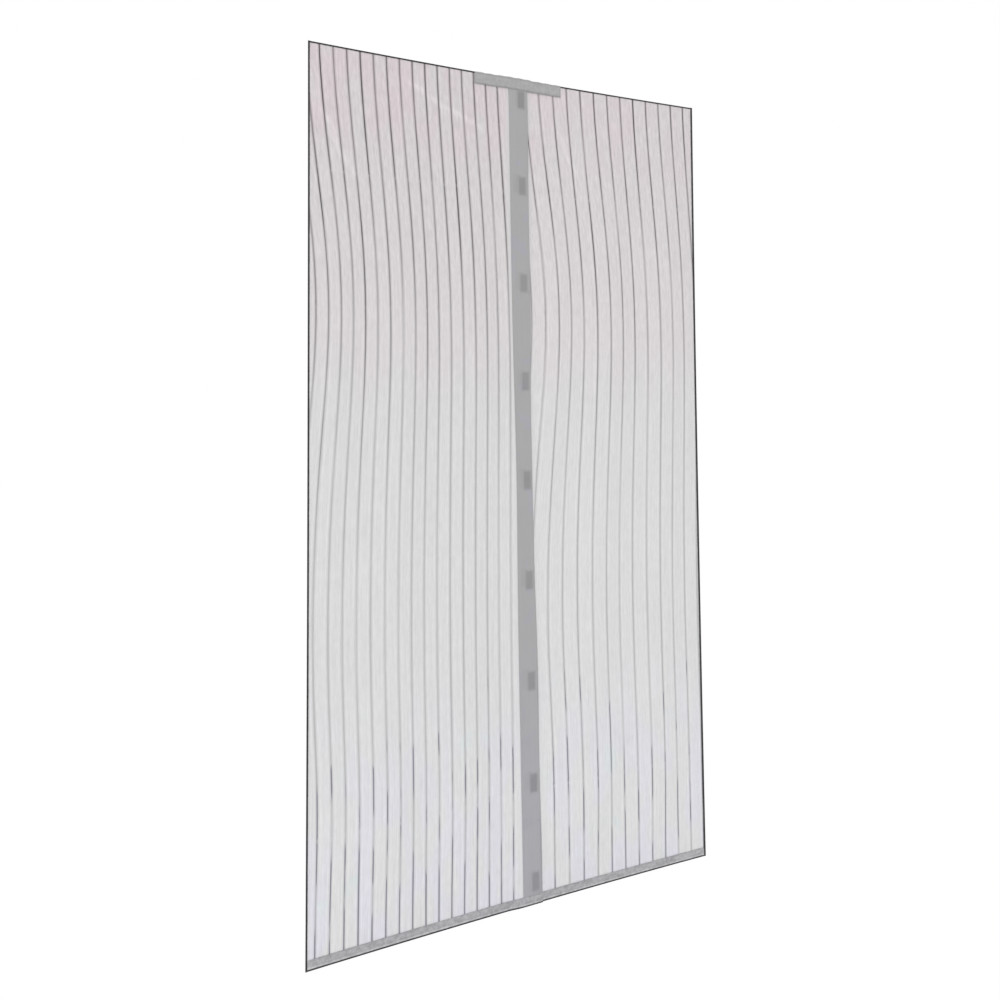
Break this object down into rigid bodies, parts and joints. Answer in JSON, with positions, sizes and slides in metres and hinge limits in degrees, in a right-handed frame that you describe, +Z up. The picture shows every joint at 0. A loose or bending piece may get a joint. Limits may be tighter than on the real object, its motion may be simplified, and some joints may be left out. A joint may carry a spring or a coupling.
{
  "type": "magnetic insect screen",
  "caption": "Hanging doorway insect screen: striped net panels with folded edge bindings, lapped centre tapes with magnets in pockets, weighted hems and a band that joins the tops.",
  "frame": {"origin": "centre of the back face of the top hook tape, where it is stuck to the door frame", "axes": "+X to the viewer's right across the doorway, +Y into the wall, +Z up"},
  "size_m": [1.1, 0.0115, 2.1],
  "materials": {
    "net": "fine pale mesh with thin dark woven stripes",
    "binding": "narrow dark woven binding",
    "tape": "plain grey woven polyester tape",
    "magnet": "flexible magnet sheet, matt",
    "weight": "plain flat steel",
    "hook_tape": "moulded hooks on an adhesive backing",
    "loop_tape": "brushed loops"
  },
  "bodies": {
    "root": {"left_net": "net", "right_net": "net", "left_side_binding": "binding", "right_side_binding": "binding", "left_top_binding": "binding", "right_top_binding": "binding", "left_foot_binding": "binding", "right_foot_binding": "binding", "left_centre_tape": "tape", "right_centre_tape": "tape", "left_hem_tape": "tape", "right_hem_tape": "tape", "closure_band": "tape", "left_magnet_1": "magnet", "left_magnet_2": "magnet", "left_magnet_3": "magnet", "left_magnet_4": "magnet", "left_magnet_5": "magnet", "left_magnet_6": "magnet", "left_magnet_7": "magnet", "left_magnet_8": "magnet", "left_magnet_9": "magnet", "right_magnet_1": "magnet", "right_magnet_2": "magnet", "right_magnet_3": "magnet", "right_magnet_4": "magnet", "right_magnet_5": "magnet", "right_magnet_6": "magnet", "right_magnet_7": "magnet", "right_magnet_8": "magnet", "right_magnet_9": "magnet", "left_hem_weight": "weight", "right_hem_weight": "weight", "top_hook_tape": "hook_tape", "left_side_hook_tape": "hook_tape", "right_side_hook_tape": "hook_tape", "left_top_loop_tape": "loop_tape", "right_top_loop_tape": "loop_tape", "left_side_loop_tape": "loop_tape", "right_side_loop_tape": "loop_tape"}
  },
  "joints": []
}
